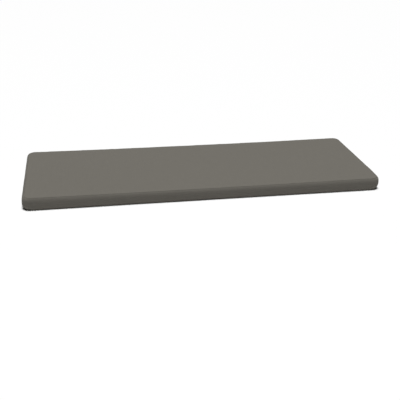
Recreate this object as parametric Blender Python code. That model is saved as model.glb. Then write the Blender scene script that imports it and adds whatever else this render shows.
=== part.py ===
# Boxed bench cushion, lying flat: a top panel with the filled cushion under it as one solid, a boxing
# strip sewn round its side and a bottom panel sewn under it.
#
# Frame, in metres: +X runs along the cushion, +Y to its back edge and +Z up. The origin is under the
# middle of the cushion, on the surface that it lies on.
#
# One section runs through the edge: from the flat underside round the foot to the belly, which is the
# widest line of the side, then over the shoulder to the rim of the top. A turn says how far round it a
# row lies: -90 degrees at the underside, 0 at the belly and 90 at the rim. A row is an inset, measured
# in from the belly, and a height, and each row is carried round the cushion as one ring of points.

import math
from collections import namedtuple

import bmesh
import bpy

# Sizes over all
LENGTH = 1.400
DEPTH = 0.490
RIM_HEIGHT = 0.055
CROWN = 0.004  # the middle of the top stands this far above its rim
CORNER_RADIUS = 0.032  # of the four upright corners, seen from above
END_PULL = 0.002  # the two ends are drawn in by this much between their corners
SIDE_PULL = 0.002  # and so are the front and the back
SAG = 0.002  # the top lies this much lower half-way along than at its two ends

# Section through the edge
BELLY_HEIGHT = 0.022
SHOULDER_INSET = 0.013  # from the belly in to the rim
FOOT_INSET = 0.006  # from the belly in to the edge of the flat underside
SHOULDER_FULLNESS = 2.0  # 2 is a quarter of an ellipse, and more is squarer
FOOT_FULLNESS = 2.3

# Cloth and seams, with the places on the section in degrees of turn
CLOTH = 0.002
GAP = 0.0003  # between the filled solid and the cloth sewn round it
TOP_SEAM = 66.0
BOTTOM_SEAM = -50.0
SEAM_DIP = 0.0012  # how deep a seam pulls the cloth in
SEAM_REACH = 9.0  # from a seam to where the cloth is full again
SEAM_OPENING = 1.3  # between the two cloths that meet in a seam

# How finely the shapes are cut
CORNER_STEPS = 7
END_STEPS = 6
SIDE_STEPS = 16
SHOULDER_STEPS = 2
BOXING_STEPS = 3  # from the bottom seam to the belly, and again from there to the top seam
FOOT_STEPS = 3
CROWN_STEPS = 8
SPINE = 0.015  # half the width of the flat strip left along the middle of the top
CORNER_OPENING = 0.8  # growth of the corner radius for each metre of inset over the crown
ROUNDEST_END = 0.8  # the most of a ring's half depth that its corners may take

COVER_GREY = (0.165, 0.156, 0.137, 1.0)
COVER_ROUGHNESS = 0.9
SHARP_EDGE = 35.0

COLLECTION = "bench_cushion"

Row = namedtuple("Row", "inset height")
Side = namedtuple("Side", "facing across pull steps")

SIDES = (
    Side(facing=0, across=False, pull=END_PULL, steps=END_STEPS),
    Side(facing=90, across=True, pull=SIDE_PULL, steps=SIDE_STEPS),
    Side(facing=180, across=False, pull=END_PULL, steps=END_STEPS),
    Side(facing=270, across=True, pull=SIDE_PULL, steps=SIDE_STEPS),
)


def even_turns(first, last, steps):
    return [first + (last - first) * step / steps for step in range(steps + 1)]


def bottom_turns():
    full = even_turns(-90.0, BOTTOM_SEAM - SEAM_REACH, FOOT_STEPS)
    return full + [BOTTOM_SEAM - SEAM_OPENING / 2]


def boxing_turns():
    lower = even_turns(BOTTOM_SEAM + SEAM_REACH, 0.0, BOXING_STEPS)
    upper = even_turns(0.0, TOP_SEAM - SEAM_REACH, BOXING_STEPS)
    return [BOTTOM_SEAM + SEAM_OPENING / 2] + lower + upper[1:] + [TOP_SEAM - SEAM_OPENING / 2]


def top_turns():
    full = even_turns(TOP_SEAM + SEAM_REACH, 90.0, SHOULDER_STEPS)
    return [TOP_SEAM + SEAM_OPENING / 2] + full


def section_row(turn, depth):
    # The row at a turn, at a depth under the skin.
    above = turn > 0
    inset = (SHOULDER_INSET if above else FOOT_INSET) - depth
    rise = (RIM_HEIGHT - BELLY_HEIGHT if above else BELLY_HEIGHT) - depth
    power = 2 / (SHOULDER_FULLNESS if above else FOOT_FULLNESS)
    sideways = abs(math.cos(math.radians(turn))) ** power
    upward = math.copysign(abs(math.sin(math.radians(turn))) ** power, turn)
    return Row(depth + inset * (1 - sideways), BELLY_HEIGHT + rise * upward)


def skin_rows(turns):
    # Rows on the skin, which dips in along the two seams.
    rows = []
    for turn in turns:
        off_seam = min(abs(turn - TOP_SEAM), abs(turn - BOTTOM_SEAM))
        rows.append(section_row(turn, SEAM_DIP * max(0.0, 1 - off_seam / SEAM_REACH)))
    return rows


def inner_rows(turns, depth):
    return [section_row(turn, depth) for turn in turns]


def crown_rows():
    # Rows from the rim, left out, up the crown to the spine.
    rows = []
    for step in range(1, CROWN_STEPS + 1):
        share = step / CROWN_STEPS
        inset = SHOULDER_INSET + (DEPTH / 2 - SPINE - SHOULDER_INSET) * share
        rows.append(Row(inset, RIM_HEIGHT + CROWN * (1 - math.cos(math.pi * share)) / 2))
    return rows


def corner_radius(inset):
    # The rings run parallel as far as the rim, and their corners open out over the crown.
    past_rim = max(0.0, inset - SHOULDER_INSET)
    radius = CORNER_RADIUS - (inset - past_rim) + CORNER_OPENING * past_rim
    return min(radius, ROUNDEST_END * (DEPTH / 2 - inset))


def ring_outline(inset):
    # Points round the cushion, anticlockwise from above: each side comes after the corner before it.
    radius = corner_radius(inset)
    half_length = LENGTH / 2 - inset
    half_depth = DEPTH / 2 - inset
    pull_left = 1 - inset / (DEPTH / 2)
    points = []
    for side in SIDES:
        facing = math.radians(side.facing)
        corner = facing - math.pi / 4
        centre_x = math.copysign(half_length - radius, math.cos(corner))
        centre_y = math.copysign(half_depth - radius, math.sin(corner))
        for step in range(CORNER_STEPS + 1):
            angle = facing - math.pi / 2 * (1 - step / CORNER_STEPS)
            points.append((centre_x + radius * math.cos(angle), centre_y + radius * math.sin(angle)))
        reach, half_side = (half_depth, half_length) if side.across else (half_length, half_depth)
        for step in range(1, side.steps):
            along = 2 * step / side.steps - 1
            out = reach - side.pull * pull_left * (1 - along**2)
            sideways = (half_side - radius) * along
            x = out * math.cos(facing) - sideways * math.sin(facing)
            y = out * math.sin(facing) + sideways * math.cos(facing)
            points.append((x, y))
    return points


def sag_at(x, height):
    # How far the sag lowers a point: nothing up to the belly, and all of it from the rim up.
    share = (height - BELLY_HEIGHT) / (RIM_HEIGHT - BELLY_HEIGHT)
    return SAG * min(max(share, 0.0), 1.0) * (1 - (2 * x / LENGTH) ** 2)


def add_ring(bm, row):
    verts = []
    for x, y in ring_outline(row.inset):
        verts.append(bm.verts.new((x, y, row.height - sag_at(x, row.height))))
    return [bm.edges.new((a, b)) for a, b in zip(verts, verts[1:] + verts[:1])]


def cover_material(name):
    material = bpy.data.materials.new(name)
    material.use_nodes = True
    shader = material.node_tree.nodes["Principled BSDF"]
    shader.inputs["Base Color"].default_value = COVER_GREY
    shader.inputs["Roughness"].default_value = COVER_ROUGHNESS
    shader.inputs["Metallic"].default_value = 0.0
    material.diffuse_color = COVER_GREY
    return material


def loft(name, rows, closed_section=False):
    # One piece: its rings bridged in turn. The ends are filled flat, or else the last ring is bridged
    # back to the first.
    bm = bmesh.new()
    rings = [add_ring(bm, row) for row in rows]
    for low, high in zip(rings, rings[1:]):
        bmesh.ops.bridge_loops(bm, edges=low + high)
    if closed_section:
        bmesh.ops.bridge_loops(bm, edges=rings[-1] + rings[0])
    else:
        bmesh.ops.edgeloop_fill(bm, edges=rings[0])
        bmesh.ops.edgeloop_fill(bm, edges=rings[-1])
    bmesh.ops.recalc_face_normals(bm, faces=bm.faces)
    mesh = bpy.data.meshes.new(name)
    bm.to_mesh(mesh)
    bm.free()
    mesh.shade_smooth()
    mesh.set_sharp_from_angle(angle=math.radians(SHARP_EDGE))
    mesh.materials.append(cover_material(name + "_cloth"))
    piece = bpy.data.objects.new(name, mesh)
    bpy.data.collections[COLLECTION].objects.link(piece)
    return piece


def make_bottom_panel():
    # Flat on what it lies on, round the foot and up to the bottom seam.
    turns = bottom_turns()
    loft("bottom_panel", skin_rows(turns) + inner_rows(reversed(turns), CLOTH))


def make_boxing_strip():
    # From the bottom seam over the belly and the shoulder to the top seam.
    turns = boxing_turns()
    loft("boxing_strip", skin_rows(turns) + inner_rows(reversed(turns), CLOTH), closed_section=True)


def make_filled_top_panel():
    # Inside the other two up to the top seam, and from there out to the skin of the top panel.
    inside = bottom_turns() + boxing_turns() + top_turns()[:1]
    rows = inner_rows(inside, CLOTH + GAP) + skin_rows(top_turns()) + crown_rows()
    loft("filled_top_panel", rows)


def build():
    for obj in list(bpy.data.objects):
        bpy.data.objects.remove(obj)
    bpy.context.scene.collection.children.link(bpy.data.collections.new(COLLECTION))
    make_filled_top_panel()
    make_boxing_strip()
    make_bottom_panel()


build()
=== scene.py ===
import math

import bmesh
import bpy
import numpy as np
from mathutils import Matrix, Vector, kdtree, noise


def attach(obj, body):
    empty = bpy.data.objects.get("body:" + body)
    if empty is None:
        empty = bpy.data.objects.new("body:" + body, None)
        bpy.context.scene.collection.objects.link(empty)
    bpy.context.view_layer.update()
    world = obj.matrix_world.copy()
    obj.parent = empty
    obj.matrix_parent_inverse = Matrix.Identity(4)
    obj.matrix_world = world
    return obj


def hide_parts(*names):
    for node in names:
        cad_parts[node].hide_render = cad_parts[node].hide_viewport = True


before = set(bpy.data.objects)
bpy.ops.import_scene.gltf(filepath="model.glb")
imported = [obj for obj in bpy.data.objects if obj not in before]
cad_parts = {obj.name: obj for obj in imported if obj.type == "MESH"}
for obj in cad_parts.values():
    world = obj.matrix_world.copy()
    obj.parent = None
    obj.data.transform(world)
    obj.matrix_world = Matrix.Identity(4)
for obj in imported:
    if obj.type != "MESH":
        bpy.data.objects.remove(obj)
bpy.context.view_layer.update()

scene = bpy.context.scene
tiny = 1e-9  # next to nothing, for safe divisions

# The cushion's own shape, in metres. A turn is a place round the edge, in degrees: -90 is the underside,
# 0 the belly, which is the widest line of the side, and 90 the rim of the top.
cushion = {
    "length": 1.400,
    "depth": 0.490,
    "rimHeight": 0.055,
    "bellyHeight": 0.022,
    "shoulderInset": 0.013,  # from the belly in to the rim
    "footInset": 0.006,  # from the belly in to the flat underside
    "shoulderFullness": 3.2,  # 2 is a quarter of an ellipse, more is squarer
    "footFullness": 2.3,
    "endRound": 0.0090,  # how much further in the rim lies at the two ends
    "cornerRadius": 0.029,
    "footCorner": 0.016,  # how much wider the corners turn at the underside
    "footCornerBend": 1.5,  # 1 is an even way down from the belly, more comes later
    "cornerOpening": 0.8,  # how fast they open out over the top
    "sidePull": 0.0015,  # the front and the back draw in by this between their corners
    "sag": 0.003,  # the top is this much lower half-way along
    "frontDrop": 0.0055,  # and this much lower at the front, where it has been sat on
    "dropReach": 0.110,
    "topSeam": 66.0,
    "bottomSeam": -50.0,
}

# How many points the skin has. The filling swells a coarser one, with half the steps round.
skinCut = {
    "halfCorner": 4,  # steps from the start of a corner to its middle
    "endSteps": 60,
    "sideSteps": 188,
    "underTurns": (-90, -77, -65, -59),
    "boxingTurns": (-41, -28, -14, 0, 14, 28, 42, 57),
    "shoulderTurns": (75, 82, 90),
    "topInsets": (0.019, 0.027, 0.036, 0.046),  # the last one runs round the even grid of the top
    "relaxing": 400,  # rounds that spread that grid evenly
}


def sectionRow(turn, depth=0.0):
    # inset and height of the ring at a turn, at a depth under the skin
    above = turn > 0
    inset = (cushion["shoulderInset"] if above else cushion["footInset"]) - depth
    rise = (cushion["rimHeight"] - cushion["bellyHeight"] if above else cushion["bellyHeight"]) - depth
    power = 2 / (cushion["shoulderFullness"] if above else cushion["footFullness"])
    sideways = abs(math.cos(math.radians(turn))) ** power
    upward = math.copysign(abs(math.sin(math.radians(turn))) ** power, turn)
    return depth + inset * (1 - sideways), cushion["bellyHeight"] + rise * upward


def cornerRadius(inset, height):
    pastRim = max(0.0, inset - cushion["shoulderInset"])
    underBelly = max(0.0, 1 - height / cushion["bellyHeight"])
    return (cushion["cornerRadius"] - (inset - pastRim) + cushion["cornerOpening"] * pastRim
            + cushion["footCorner"] * underBelly ** cushion["footCornerBend"])


def ringOutline(inset, height, coarse):
    # points round the cushion, anticlockwise from above, each side after the corner before it
    radius = cornerRadius(inset, height)
    overEnd = min(inset / cushion["shoulderInset"], 1) if height > cushion["bellyHeight"] else 0
    halfLength = cushion["length"] / 2 - inset - cushion["endRound"] * overEnd
    halfDepth = cushion["depth"] / 2 - inset
    sidePull = cushion["sidePull"] * (1 - inset / (cushion["depth"] / 2))
    cornerSteps = 2 * skinCut["halfCorner"] // coarse
    points = []
    for facingDegrees in (0, 90, 180, 270):
        facing = math.radians(facingDegrees)
        corner = facing - math.pi / 4
        centreX = math.copysign(halfLength - radius, math.cos(corner))
        centreY = math.copysign(halfDepth - radius, math.sin(corner))
        for step in range(cornerSteps + 1):
            angle = facing - math.pi / 2 * (1 - step / cornerSteps)
            points.append((centreX + radius * math.cos(angle), centreY + radius * math.sin(angle)))
        if facingDegrees in (0, 180):
            reach, halfSide, pull, steps = halfLength, halfDepth, 0, skinCut["endSteps"] // coarse
        else:
            reach, halfSide, pull, steps = halfDepth, halfLength, sidePull, skinCut["sideSteps"] // coarse
        for step in range(1, steps):
            along = 2 * step / steps - 1
            out = reach - pull * (1 - along**2)
            sideways = (halfSide - radius) * along
            points.append((out * math.cos(facing) - sideways * math.sin(facing),
                           out * math.sin(facing) + sideways * math.cos(facing)))
    return np.array(points)


def loweringAt(x, y):
    # how much lower the rim of the top lies at a place, from the sag and the front drop
    fromFront = np.clip((cushion["depth"] / 2 + y) / cushion["dropReach"], 0, 1)
    sag = cushion["sag"] * (1 - (2 * x / cushion["length"]) ** 2)
    return sag + cushion["frontDrop"] * (1 - fromFront) ** 2


def lowered(height, x, y):
    # a height on the edge's section where the rim lies lower: nothing changes up to the belly
    share = (height - cushion["bellyHeight"]) / (cushion["rimHeight"] - cushion["bellyHeight"])
    return height - min(max(share, 0), 1) * loweringAt(x, y)


def ringAt(inset, height, coarse):
    outline = ringOutline(inset, height, coarse)
    return np.column_stack([outline, lowered(height, outline[:, 0], outline[:, 1])])


def gridBorder(ring, coarse):
    # the last ring as the four borders of the even grid: front, back, left and right
    half = skinCut["halfCorner"] // coarse
    wide = skinCut["sideSteps"] // coarse + 2 * half
    high = skinCut["endSteps"] // coarse + 2 * half
    count = len(ring)
    frontLeft = count - wide + half
    front = ring[(frontLeft + np.arange(wide + 1)) % count]
    back = ring[(frontLeft - high - np.arange(wide + 1)) % count]
    left = ring[(frontLeft - np.arange(high + 1)) % count]
    right = ring[(half + np.arange(high + 1)) % count]
    return front, back, left, right


def evenGrid(ring, coarse):
    # spreads an even grid of points inside a ring: straight blends first, then relaxed
    front, back, left, right = gridBorder(ring, coarse)
    u = np.linspace(0, 1, len(front))[None, :, None]
    v = np.linspace(0, 1, len(left))[:, None, None]
    grid = (1 - v) * front[None] + v * back[None] + (1 - u) * left[:, None] + u * right[:, None]
    grid -= (1 - v) * ((1 - u) * front[0] + u * front[-1]) + v * ((1 - u) * back[0] + u * back[-1])
    for _ in range(skinCut["relaxing"]):
        grid[1:-1, 1:-1] = (grid[:-2, 1:-1] + grid[2:, 1:-1] + grid[1:-1, :-2] + grid[1:-1, 2:]) / 4
    return grid


def bandFaces(low, high):
    # quads between two rings of point numbers, facing out
    return np.column_stack([low, np.roll(low, -1), np.roll(high, -1), high])


def gridFaces(numbers):
    corners = [numbers[:-1, :-1], numbers[:-1, 1:], numbers[1:, 1:], numbers[1:, :-1]]
    return np.stack(corners, axis=-1).reshape(-1, 4)


def makeSkin(name, turns, coarse):
    # one closed bag: rings up to the top's even grid, and a flat underside
    rows = [ringAt(*sectionRow(turn), coarse) for turn in turns]
    rows += [ringAt(inset, cushion["rimHeight"], coarse) for inset in skinCut["topInsets"]]
    grid = evenGrid(rows[-1], coarse)
    around = len(rows[0])
    rowNumbers = np.arange(around * len(rows)).reshape(len(rows), around)
    gridNumbers = np.zeros(grid.shape[:2], dtype=int)
    inside = gridNumbers[1:-1, 1:-1]
    gridNumbers[1:-1, 1:-1] = around * len(rows) + np.arange(inside.size).reshape(inside.shape)
    front, back, left, right = gridBorder(rowNumbers[-1], coarse)
    gridNumbers[0], gridNumbers[-1], gridNumbers[:, 0], gridNumbers[:, -1] = front, back, left, right
    faces = [rowNumbers[0][::-1].tolist()]
    for low, high in zip(rowNumbers, rowNumbers[1:]):
        faces += bandFaces(low, high).tolist()
    faces += gridFaces(gridNumbers).tolist()
    points = np.concatenate(rows + [grid[1:-1, 1:-1].reshape(-1, 3)])
    mesh = bpy.data.meshes.new(name)
    mesh.from_pydata(points.tolist(), [], faces)
    skin = bpy.data.objects.new(name, mesh)
    scene.collection.objects.link(skin)
    return skin, rowNumbers, gridNumbers


def pointsOf(mesh):
    flat = np.empty(len(mesh.vertices) * 3)
    mesh.vertices.foreach_get("co", flat)
    return flat.reshape(-1, 3)


def normalsOf(mesh):
    flat = np.empty(len(mesh.vertices) * 3)
    mesh.vertex_normals.foreach_get("vector", flat)
    return flat.reshape(-1, 3)


def movePoints(mesh, points):
    mesh.vertices.foreach_set("co", np.ravel(points))
    mesh.update()


# What swells the bag, with its seams and its underside held
filling = {
    "pressure": 4.0,
    "frames": 20,
    "quality": 5,
    "clothWeight": 0.3,
    "stiffness": 12.0,
    "bending": 4.0,
    "lift": 0.0042,  # how far it lifts the top at most
    "bulge": 0.0008,  # and how far it pushes the boxing out
}


def swell(turns):
    # how far the filling moves each point of the coarse bag: by rings, and by the even grid
    bag, rowNumbers, gridNumbers = makeSkin("bag", turns, 2)
    start = pointsOf(bag.data)
    heldRows = [row for row, turn in enumerate(turns)
                if turn in skinCut["underTurns"] + (cushion["bottomSeam"], cushion["topSeam"])]
    bag.vertex_groups.new(name="sewn").add(rowNumbers[heldRows].ravel().tolist(), 1.0, "REPLACE")
    simulation = bag.modifiers.new("filling", "CLOTH")
    settings = simulation.settings
    settings.vertex_group_mass = "sewn"
    settings.quality = filling["quality"]
    settings.mass = filling["clothWeight"]
    settings.tension_stiffness = filling["stiffness"]
    settings.compression_stiffness = filling["stiffness"]
    settings.shear_stiffness = filling["stiffness"]
    settings.bending_stiffness = filling["bending"]
    settings.use_pressure = True
    settings.uniform_pressure_force = filling["pressure"]
    settings.effector_weights.gravity = 0.0
    simulation.point_cache.frame_start = 1
    simulation.point_cache.frame_end = filling["frames"]
    for step in range(1, filling["frames"] + 1):
        scene.frame_set(step)
    swollen = pointsOf(bag.evaluated_get(bpy.context.evaluated_depsgraph_get()).data)
    scene.frame_set(1)
    moved = swollen - start
    bpy.data.objects.remove(bag)
    return moved[rowNumbers], moved[gridNumbers]


def capped(moved, most):
    # scaled so that the biggest move is the most allowed
    return moved * most / max(np.linalg.norm(moved, axis=-1).max(), tiny)


def doubled(values, axis, closed):
    # twice the points along one axis, on a smooth curve through the ones there are
    v = np.moveaxis(values, axis, 0)
    if closed:
        before, after, last = np.roll(v, 1, 0), np.roll(v, -1, 0), np.roll(v, -2, 0)
        full = np.empty((2 * len(v),) + v.shape[1:])
        here = v
    else:
        longer = np.concatenate([2 * v[:1] - v[1:2], v, 2 * v[-1:] - v[-2:-1]])
        here, after, before, last = v[:-1], v[1:], longer[:-3], longer[3:]
        full = np.empty((2 * len(v) - 1,) + v.shape[1:])
    full[0::2] = v
    full[1::2] = (9 * (here + after) - before - last) / 16
    return np.moveaxis(full, 0, axis)


def makeSwollenSkin():
    turns = list(skinCut["underTurns"]) + [cushion["bottomSeam"]] + list(skinCut["boxingTurns"])
    turns += [cushion["topSeam"]] + list(skinCut["shoulderTurns"])
    skin, rowNumbers, gridNumbers = makeSkin("skin", turns, 1)
    topRow = turns.index(cushion["topSeam"])
    ringMoves, gridMoves = swell(turns)
    rise = float(gridMoves[..., 2].max()) * 1000
    print("filling: the top rose by", round(rise, 1), "mm before the cap")
    boxingMoves = capped(ringMoves[:topRow], filling["bulge"])
    share = filling["lift"] / np.linalg.norm(gridMoves, axis=-1).max()
    points = pointsOf(skin.data)
    points[gridNumbers] += doubled(doubled(gridMoves * share, 0, False), 1, False)
    points[rowNumbers[:topRow]] += doubled(boxingMoves, 1, True)
    points[rowNumbers[topRow:-1]] += doubled(ringMoves[topRow:-1] * share, 1, True)
    movePoints(skin.data, points)
    return skin, turns, rowNumbers, gridNumbers


skin, turns, rowNumbers, gridNumbers = makeSwollenSkin()
skinPoints, skinNormals = pointsOf(skin.data), normalsOf(skin.data)
print("skin:", len(skinPoints), "points")

# The cloth and its seams, with lengths in metres
cloth = {
    "thickness": 0.0021,
    "gap": 0.0004,  # between the filled cushion and the cloth round it
    "seamDip": 0.0005,  # how deep the stitching pulls the seam in
    "lipShare": 0.33,  # the lip lies this far from the seam towards the next ring
    "seamOpening": 0.10,  # of the lip, left open on each side of the seam line
    "innerUnderRows": (0, 2),  # the hidden inner sides follow fewer rings: these of the underside
    "boxingInnerStep": 2,  # and of the side every so many, behind the boxing
    "fillingInnerStep": 3,  # and in the filled cushion
}


def ringPoints(row, depth):
    return skinPoints[rowNumbers[row]] - skinNormals[rowNumbers[row]] * depth


def lipRings(seamRow, step):
    # the cloth's edge at a seam and its lip beside it, on the side that step points to
    seamRing = ringPoints(seamRow, cloth["seamDip"])
    nextRing = ringPoints(seamRow + step, 0)
    lip = ringPoints(seamRow, 0) * (1 - cloth["lipShare"]) + nextRing * cloth["lipShare"]
    return seamRing + (lip - seamRing) * cloth["seamOpening"], lip


def lengthsRound(ring):
    steps = np.linalg.norm(np.roll(ring, -1, axis=0) - ring, axis=1)
    return np.concatenate([[0], np.cumsum(steps)])


def lengthsUp(rings):
    # mean length along the cloth from the first ring to each one
    lengths = [0.0]
    for low, high in zip(rings, rings[1:]):
        lengths.append(lengths[-1] + float(np.linalg.norm(high - low, axis=1).mean()))
    return lengths


def clothAlong(rings):
    # places on a strip: along it from ring to ring, and across it
    along = lengthsRound(rings[len(rings) // 2])
    return [np.column_stack([along, np.full(len(along), across)]) for across in lengthsUp(rings)]


def clothFlat(rings, rim):
    # places on a panel laid flat: the rings outside its rim are rolled out
    flat = []
    for ring in rings:
        out = ring[:, :2] - rings[rim][:, :2]
        lengths = np.linalg.norm(out, axis=1, keepdims=True)
        rolled = np.linalg.norm(ring - rings[rim], axis=1, keepdims=True)
        place = rings[rim][:, :2] + out / np.maximum(lengths, tiny) * rolled
        flat.append(place if lengths.max() > tiny else ring[:, :2])
    return [np.concatenate([place, place[:1]]) for place in flat]


def sewPiece(name, rings, places, closedSection=False, grid=None):
    # a mesh from rings, with the cloth's flat places in metres as its UV map; its ends are filled later
    around = len(rings[0])
    numbers = np.arange(around * len(rings)).reshape(len(rings), around)
    points = np.concatenate(rings)
    pairs = list(zip(range(len(rings)), range(1, len(rings))))
    if closedSection:
        pairs.append((len(rings) - 1, 0))
    faces, uvs = [], []
    for low, high in pairs:
        faces += bandFaces(numbers[low], numbers[high]).tolist()
        corners = [places[low][:-1], places[low][1:], places[high][1:], places[high][:-1]]
        uvs.append(np.stack(corners, axis=1).reshape(-1, 2))
    if grid is not None:
        gridAt = np.zeros(grid.shape[:2], dtype=int)
        inside = gridAt[1:-1, 1:-1]
        gridAt[1:-1, 1:-1] = len(points) + np.arange(inside.size).reshape(inside.shape)
        front, back, left, right = gridBorder(numbers[-1], 1)
        gridAt[0], gridAt[-1], gridAt[:, 0], gridAt[:, -1] = front, back, left, right
        points = np.concatenate([points, grid[1:-1, 1:-1].reshape(-1, 3)])
        quads = gridFaces(gridAt)
        faces += quads.tolist()
        uvs.append(points[quads.ravel(), :2])
    mesh = bpy.data.meshes.new(name)
    mesh.from_pydata(points.tolist(), [], faces)
    flatMap = mesh.uv_layers.new(name="clothPlaces")
    flatMap.data.foreach_set("uv", np.concatenate(uvs).ravel())
    piece = bpy.data.objects.new(name, mesh)
    scene.collection.objects.link(piece)
    return piece


def subdivide(piece):
    subdivision = piece.modifiers.new("smooth", "SUBSURF")
    subdivision.levels = subdivision.render_levels = 1
    rough = piece.data
    piece.data = bpy.data.meshes.new_from_object(piece.evaluated_get(bpy.context.evaluated_depsgraph_get()))
    piece.data.name = piece.name
    piece.modifiers.clear()
    bpy.data.meshes.remove(rough)
    fillFlatEnds(piece.data)
    piece.data.shade_smooth()


def fillFlatEnds(mesh):
    # the ends left open by the rings lie level and get one face each
    bm = bmesh.new()
    bm.from_mesh(mesh)
    openEdges = [edge for edge in bm.edges if edge.is_boundary]
    for level in sorted({round(edge.verts[0].co.z, 4) for edge in openEdges}):
        loop = [edge for edge in openEdges if abs(edge.verts[0].co.z - level) < cloth["gap"]]
        made = bmesh.ops.edgeloop_fill(bm, edges=loop)
        for face in made["faces"]:
            for corner in face.loops:
                corner[bm.loops.layers.uv.active].uv = corner.vert.co.xy
    bmesh.ops.recalc_face_normals(bm, faces=bm.faces)
    bm.to_mesh(mesh)
    bm.free()


bottomRow = turns.index(cushion["bottomSeam"])
topRow = turns.index(cushion["topSeam"])
rimRow = turns.index(90)


def makeBottomPanel():
    edge, lip = lipRings(bottomRow, -1)
    outer = [ringPoints(row, 0) for row in range(bottomRow)] + [lip, edge]
    innerRows = [bottomRow, *reversed(cloth["innerUnderRows"])]
    rings = outer + [ringPoints(row, cloth["thickness"]) for row in innerRows]
    return sewPiece("bottomPanel", rings, clothFlat(rings, 0))


def makeBoxing():
    lowEdge, lowLip = lipRings(bottomRow, 1)
    highEdge, highLip = lipRings(topRow, -1)
    between = [ringPoints(row, 0) for row in range(bottomRow + 1, topRow)]
    outer = [lowEdge, lowLip] + between + [highLip, highEdge]
    innerRows = [*range(topRow, bottomRow, -cloth["boxingInnerStep"]), bottomRow]
    inner = [ringPoints(row, cloth["thickness"]) for row in innerRows]
    places = clothAlong(outer)
    ups = [places[0][0, 1], places[-1][0, 1]]
    back = lengthsUp(inner)
    for up in back:
        across = ups[1] - (ups[1] - ups[0]) * up / back[-1]
        places.append(np.column_stack([places[0][:, 0], np.full(len(places[0]), across)]))
    return sewPiece("boxing", outer + inner, places, closedSection=True)


def makeTopPanel():
    # the cloth of the top with the filled cushion under it, inside the boxing and the bottom panel
    depth = cloth["thickness"] + cloth["gap"]
    edge, lip = lipRings(topRow, 1)
    sideRows = range(bottomRow, topRow, cloth["fillingInnerStep"])
    inner = [ringPoints(row, depth) for row in [*cloth["innerUnderRows"], *sideRows, topRow]]
    outer = [edge, lip] + [ringPoints(row, 0) for row in range(topRow + 1, len(rowNumbers))]
    rings = inner + outer
    rim = len(inner) + 2 + rimRow - topRow - 1
    return sewPiece("topPanel", rings, clothFlat(rings, rim), grid=skinPoints[gridNumbers])


topPanel = makeTopPanel()
boxing = makeBoxing()
bottomPanel = makeBottomPanel()
pieces = (topPanel, boxing, bottomPanel)
bpy.data.objects.remove(skin)
for piece in pieces:
    subdivide(piece)
    print(piece.name + ":", len(piece.data.polygons), "faces")

# What sewing and use do to the cloth, with its lengths in metres
handling = {
    "gather": 0.00055,  # height of the small gathers beside the seams
    "gatherPitch": 0.015,
    "broadGather": 0.00033,  # and of the broader ones among them
    "broadPitch": 0.036,
    "gatherReach": 0.012,  # how far they run from the seam
    "cornerGather": 0.9,  # how much more the cloth gathers round the corners
    "seamWidth": 0.0016,  # beside the seam, where the stitches hold the cloth down
    "slack": 0.00045,  # height of the slow unevenness of the boxing
    "slackLength": 0.10,
    "wave": 0.0006,  # and of the top
    "waveLength": 0.17,
    "finer": 0.5,  # both come again at a finer scale, with this share of the height
    "finerLength": 0.43,  # and of the length
    "edgeInset": 0.010,  # the boxing's slack gives way to the waves of the top from here
    "topInset": 0.060,  # to here, in from the outline
    "restingHeight": 0.004,  # the cloth lies still below this
    "roundedCorner": 0.080,  # how widely the directions turn at a corner
    "topSeamSeed": 3.7,  # another seed gives other gathers, waves or slack of the same size
    "bottomSeamSeed": 8.2,
    "waveSeed": 1.3,
    "slackSeed": 6.4,
}


def nearestOutline(points):
    # for each point the nearest place on the outline, seen from above: where it is, the way out to it,
    # how far in the point lies, the length round to it, and how much of a corner it is
    radius = handling["roundedCorner"]
    halfLength, halfDepth = cushion["length"] / 2, cushion["depth"] / 2
    x, y = points[:, 0], points[:, 1]
    centre = np.column_stack([np.clip(x, radius - halfLength, halfLength - radius),
                              np.clip(y, radius - halfDepth, halfDepth - radius)])
    out = points[:, :2] - centre
    inCorner = (np.abs(out) > tiny).all(axis=1)
    toEnd = halfLength - np.abs(x) < halfDepth - np.abs(y)
    toSide = np.column_stack([0 * y, np.sign(y)])
    straight = np.where(toEnd[:, None], np.column_stack([np.sign(x), 0 * x]), toSide)
    fromCentre = np.linalg.norm(out, axis=1)
    out = np.where(inCorner[:, None], out / np.maximum(fromCentre, tiny)[:, None], straight)
    onLine = np.where(toEnd[:, None], np.column_stack([np.sign(x) * halfLength, y]),
                      np.column_stack([x, np.sign(y) * halfDepth]))
    onLine = np.where(inCorner[:, None], centre + out * radius, onLine)
    straightInset = np.minimum(halfLength - np.abs(x), halfDepth - np.abs(y))
    inset = np.where(inCorner, radius - fromCentre, straightInset)
    # the length runs from the middle of the back, both ways, to the middle of the front
    turned = np.arctan2(np.abs(out[:, 0]), out[:, 1])
    flatLength, flatDepth, bend = halfLength - radius, halfDepth - radius, radius * math.pi / 2
    onEnd = ~inCorner & toEnd
    length = np.where(onEnd, flatLength + bend + flatDepth - y, np.abs(x))
    onFront = ~inCorner & ~toEnd & (y < 0)
    length = np.where(onFront, 2 * (flatDepth + bend + flatLength) - np.abs(x), length)
    toCorner = flatLength + np.where(y > 0, 0, 2 * flatDepth)
    length = np.where(inCorner, toCorner + radius * turned, length)
    cornerness = np.where(inCorner, 1 - np.abs(turned % (math.pi / 2) - math.pi / 4) / (math.pi / 4), 0)
    return onLine, out, inset, length, cornerness


def noiseAt(places, length, seed):
    scaled = places[:, :2] / length
    return np.array([noise.noise(Vector((x, y, seed))) for x, y in scaled.tolist()])


def slowNoise(places, length, seed):
    finer = noiseAt(places, handling["finerLength"] * length, -seed)
    return noiseAt(places, length, seed) + handling["finer"] * finer


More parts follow.
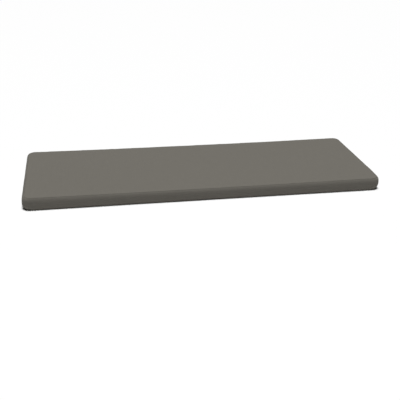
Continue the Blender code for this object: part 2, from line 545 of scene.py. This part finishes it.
def seamDistance(points, seamRow):
    # from each point to the nearest place on a seam
    line = doubled(doubled(ringPoints(seamRow, cloth["seamDip"]), 0, True), 0, True)
    tree = kdtree.KDTree(len(line))
    for number, place in enumerate(line.tolist()):
        tree.insert(place, number)
    tree.balance()
    return np.array([tree.find(point)[2] for point in points.tolist()])


def handle(piece):
    # moves the cloth in and out, along a direction that turns from sideways at the belly to up at the rim
    points = pointsOf(piece.data)
    onLine, out, inset, length, cornerness = nearestOutline(points)
    span = cushion["rimHeight"] - loweringAt(points[:, 0], points[:, 1]) - cushion["bellyHeight"]
    rise = points[:, 2] - cushion["bellyHeight"]
    upward = np.clip(np.where(rise > 0, rise / span, rise / cushion["bellyHeight"]), -1, 1)
    away = np.column_stack([out * np.sqrt(1 - upward**2)[:, None], upward])
    move = np.zeros(len(points))
    # where the stitches hold the cloth: a mask for the stitch pull and for the painted shade along the
    # seams
    nearSeam = np.zeros(len(points))
    for seamRow, seed in ((topRow, handling["topSeamSeed"]), (bottomRow, handling["bottomSeamSeed"])):
        off = seamDistance(points, seamRow)
        stitched = np.exp(-off / handling["seamWidth"])
        gathers = handling["gather"] * noiseAt(onLine, handling["gatherPitch"], seed)
        gathers += handling["broadGather"] * noiseAt(onLine, handling["broadPitch"], -seed)
        gathers *= 1 + handling["cornerGather"] * cornerness
        move += gathers * np.exp(-off / handling["gatherReach"]) * (1 - stitched)
        nearSeam = np.maximum(nearSeam, stitched)
    edge, top = handling["edgeInset"], handling["topInset"]
    onTop = np.clip((inset - edge) / (top - edge), 0, 1)
    waves = handling["wave"] * slowNoise(points, handling["waveLength"], handling["waveSeed"])
    slack = handling["slack"] * slowNoise(onLine, handling["slackLength"], handling["slackSeed"])
    move += waves * onTop * (rise > 0)
    move += slack * (1 - onTop)
    move *= np.clip(points[:, 2] / handling["restingHeight"], 0, 1)
    points = points + away * move[:, None]
    points[:, 2] = np.maximum(points[:, 2], 0)
    movePoints(piece.data, points)
    # the cover cloth reads these two, for the stitches that pull at the seams and for the painted shade
    # along the seams
    for label, values in (("nearSeam", nearSeam), ("alongSeam", length)):
        attribute = piece.data.attributes.new(label, "FLOAT", "POINT")
        attribute.data.foreach_set("value", values.astype(np.float32))


for piece in pieces:
    handle(piece)
print("cloth handled")

# The cover is a plain weave in a warm grey, and its lengths are in metres
coverCloth = {
    "colour": (0.1439, 0.1356, 0.1178, 1.0),
    "roughness": 0.95,
    "gloss": 0.15,
    "sheen": 0.03,
    "sheenRoughness": 0.5,
    "threadPitch": 0.00083,  # from thread to thread
    "weaveHeight": 0.00013,
    "weaveShade": 0.13,  # how much darker the cloth is between its threads
    "slubLength": 0.045,
    "slubShade": 0.08,  # how much single threads differ in shade
    "slubHeight": 0.00007,
    "weftSeed": 3.1,
    "warpSeed": 7.7,
    "heatherSize": 0.012,
    "heatherShade": 0.025,
    "driftSize": 0.30,
    "driftShade": 0.015,
    "napSize": 0.00038,
    "napHeight": 0.00008,
    "stray": 0.0028,  # the threads never run quite straight
    "strayLength": 0.036,
    "stitchPitch": 0.0036,
    "stitchPull": 0.00035,
    # painted shade: how much darker the cloth is drawn along the seams, where their groove lies in shade
    "seamPaintedShade": 0.02,
    "relief": 0.8,  # how strongly all of this relief shows
}


def weaveCloth(name, look):
    material = bpy.data.materials.new(name)
    material.use_nodes = True
    nodes, links = material.node_tree.nodes, material.node_tree.links
    shader = nodes["Principled BSDF"]
    shader.inputs["Roughness"].default_value = look["roughness"]
    shader.inputs["Specular IOR Level"].default_value = look["gloss"]
    shader.inputs["Sheen Weight"].default_value = look["sheen"]
    shader.inputs["Sheen Roughness"].default_value = look["sheenRoughness"]

    def node(kind, inputs=(), **settings):
        made = nodes.new(kind)
        for setting, value in settings.items():
            setattr(made, setting, value)
        for socket, value in dict(inputs).items():
            if isinstance(value, bpy.types.NodeSocket):
                links.new(value, made.inputs[socket])
            else:
                made.inputs[socket].default_value = value
        return made

    def maths(operation, *values):
        return node("ShaderNodeMath", dict(enumerate(values)), operation=operation).outputs[0]

    def vectors(operation, first, second):
        return node("ShaderNodeVectorMath", {0: first, 1: second}, operation=operation).outputs[0]

    def scaled(vector, scale):
        return node("ShaderNodeVectorMath", {0: vector, "Scale": scale}, operation="SCALE").outputs[0]

    def noiseOf(vector, scale, detail, output="Fac"):
        inputs = {"Vector": vector, "Scale": scale, "Detail": detail}
        return node("ShaderNodeTexNoise", inputs).outputs[output]

    def attribute(label):
        return node("ShaderNodeAttribute", attribute_name=label).outputs["Fac"]

    def around(value, spread, base):
        # base plus the value's swing about a half
        return maths("MULTIPLY_ADD", maths("SUBTRACT", value, 0.5), 2 * spread, base)

    places = node("ShaderNodeUVMap", uv_map="clothPlaces").outputs["UV"]
    wander = vectors("SUBTRACT", noiseOf(places, 1 / look["strayLength"], 2.0, "Color"), (0.5, 0.5, 0.5))
    woven = vectors("ADD", places, scaled(wander, look["stray"]))
    thread = node("ShaderNodeSeparateXYZ", {0: scaled(woven, 1 / look["threadPitch"])})
    warpNumber, weftNumber = (maths("FLOOR", thread.outputs[axis]) for axis in "XY")
    warpRound, weftRound = (maths("SINE", maths("MULTIPLY", maths("FRACT", thread.outputs[axis]), math.pi))
                            for axis in "XY")
    warpOnTop = maths("FLOORED_MODULO", maths("ADD", warpNumber, weftNumber), 2.0)
    warpHeight = maths("MULTIPLY", warpRound, maths("MULTIPLY_ADD", weftRound, 0.5, 0.5))
    weftHeight = maths("MULTIPLY", weftRound, maths("MULTIPLY_ADD", warpRound, 0.5, 0.5))
    weave = node("ShaderNodeMix", {"Factor": warpOnTop, "A": weftHeight, "B": warpHeight}).outputs["Result"]

    def slubs(stretch, seed):
        # single threads vary in thickness and in shade along their length
        return noiseOf(vectors("ADD", vectors("MULTIPLY", woven, stretch), (0.0, 0.0, seed)), 1.0, 1.0)

    fine, long = 1 / look["threadPitch"], 1 / look["slubLength"]
    weftSlubs = slubs((long, fine, 1.0), look["weftSeed"])
    warpSlubs = slubs((fine, long, 1.0), look["warpSeed"])
    threads = maths("MULTIPLY", maths("ADD", weftSlubs, warpSlubs), 0.5)
    nearSeam = attribute("nearSeam")
    stitches = maths("SINE", maths("MULTIPLY", attribute("alongSeam"), 2 * math.pi / look["stitchPitch"]))
    pulled = maths("MULTIPLY", maths("MULTIPLY_ADD", stitches, 0.5, 0.5), nearSeam)

    shade = around(threads, 2 * look["slubShade"], 1.0)
    shade = around(noiseOf(places, 1 / look["heatherSize"], 4.0), look["heatherShade"], shade)
    shade = around(noiseOf(places, 1 / look["driftSize"], 3.0), look["driftShade"], shade)
    shade = around(weave, look["weaveShade"] / 2, shade)
    # painted shade along the seams
    shade = maths("MULTIPLY_ADD", nearSeam, -look["seamPaintedShade"], shade)
    links.new(scaled(look["colour"][:3], shade), shader.inputs["Base Color"])

    height = maths("MULTIPLY", weave, look["weaveHeight"])
    height = maths("MULTIPLY_ADD", threads, 2 * look["slubHeight"], height)
    height = maths("MULTIPLY_ADD", noiseOf(places, 1 / look["napSize"], 2.0), look["napHeight"], height)
    height = maths("MULTIPLY_ADD", pulled, -look["stitchPull"], height)
    bump = node("ShaderNodeBump", {"Height": height, "Strength": look["relief"], "Distance": 1.0})
    links.new(bump.outputs["Normal"], shader.inputs["Normal"])
    return material


coverMaterial = weaveCloth("coverCloth", coverCloth)
for piece in pieces:
    piece.data.materials.clear()
    piece.data.materials.append(coverMaterial)
    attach(piece, "root")
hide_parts("filled_top_panel")
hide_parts("boxing_strip")
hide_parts("bottom_panel")
print("cover cloth: grey plain weave")

# Floor and light
studio = {
    "floorSize": 60.0,
    "floorGap": 0.0006,  # under the cushion
    "floorColour": (0.845, 0.845, 0.845, 1.0),
    "floorRoughness": 0.9,
    "floorGloss": 0.1,
    "lampStrength": 3.66,
    "lampSoftness": 24.0,  # degrees across, as seen from the cushion
    "lampLean": 2.5,  # degrees from straight above, towards the front
    "skyLight": 0.03,  # from all round
    "backdrop": 0.985,  # how bright the camera sees it
}

bpy.ops.mesh.primitive_plane_add(size=studio["floorSize"], location=(0, 0, -studio["floorGap"]))
floor = bpy.context.object
floor.name = "floor"
floorMaterial = bpy.data.materials.new("paleFloor")
floorMaterial.use_nodes = True
floorShader = floorMaterial.node_tree.nodes["Principled BSDF"]
floorShader.inputs["Base Color"].default_value = studio["floorColour"]
floorShader.inputs["Roughness"].default_value = studio["floorRoughness"]
floorShader.inputs["Specular IOR Level"].default_value = studio["floorGloss"]
floor.data.materials.append(floorMaterial)

lamp = bpy.data.lights.new("overheadLight", "SUN")
lamp.energy = studio["lampStrength"]
lamp.angle = math.radians(studio["lampSoftness"])
lampObject = bpy.data.objects.new("overheadLight", lamp)
lampObject.rotation_euler = (math.radians(studio["lampLean"]), 0, 0)
scene.collection.objects.link(lampObject)

world = bpy.data.worlds.new("studio")
world.use_nodes = True
worldNodes, worldLinks = world.node_tree.nodes, world.node_tree.links
worldNodes.clear()
skyLight = worldNodes.new("ShaderNodeBackground")
skyLight.inputs["Strength"].default_value = studio["skyLight"]
backdrop = worldNodes.new("ShaderNodeBackground")
backdrop.inputs["Strength"].default_value = studio["backdrop"]
seen = worldNodes.new("ShaderNodeLightPath")
either = worldNodes.new("ShaderNodeMixShader")
worldOutput = worldNodes.new("ShaderNodeOutputWorld")
for sky in (skyLight, backdrop):
    sky.inputs["Color"].default_value = (1, 1, 1, 1)
worldLinks.new(seen.outputs["Is Camera Ray"], either.inputs[0])
worldLinks.new(skyLight.outputs[0], either.inputs[1])
worldLinks.new(backdrop.outputs[0], either.inputs[2])
worldLinks.new(either.outputs[0], worldOutput.inputs["Surface"])
scene.world = world
scene.view_settings.view_transform = "Standard"
print("floor and light set up")

# The camera stands as the one that took the photograph
view = {
    "place": (-0.4744, -2.618, 1.0926),
    "turned": -10.504,  # degrees from straight on, and minus is to the right
    "lookingDown": 24.294,
    "tilt": 0.893,
    "lens": 62.16,
    "sensor": 36.0,
}

camera = bpy.data.cameras.new("camera")
camera.lens = view["lens"]
camera.sensor_width = view["sensor"]
cameraObject = bpy.data.objects.new("camera", camera)
cameraObject.matrix_world = (Matrix.Translation(view["place"])
                             @ Matrix.Rotation(math.radians(view["turned"]), 4, "Z")
                             @ Matrix.Rotation(math.radians(90 - view["lookingDown"]), 4, "X")
                             @ Matrix.Rotation(math.radians(view["tilt"]), 4, "Z"))
scene.collection.objects.link(cameraObject)
scene.camera = cameraObject
print("camera placed")
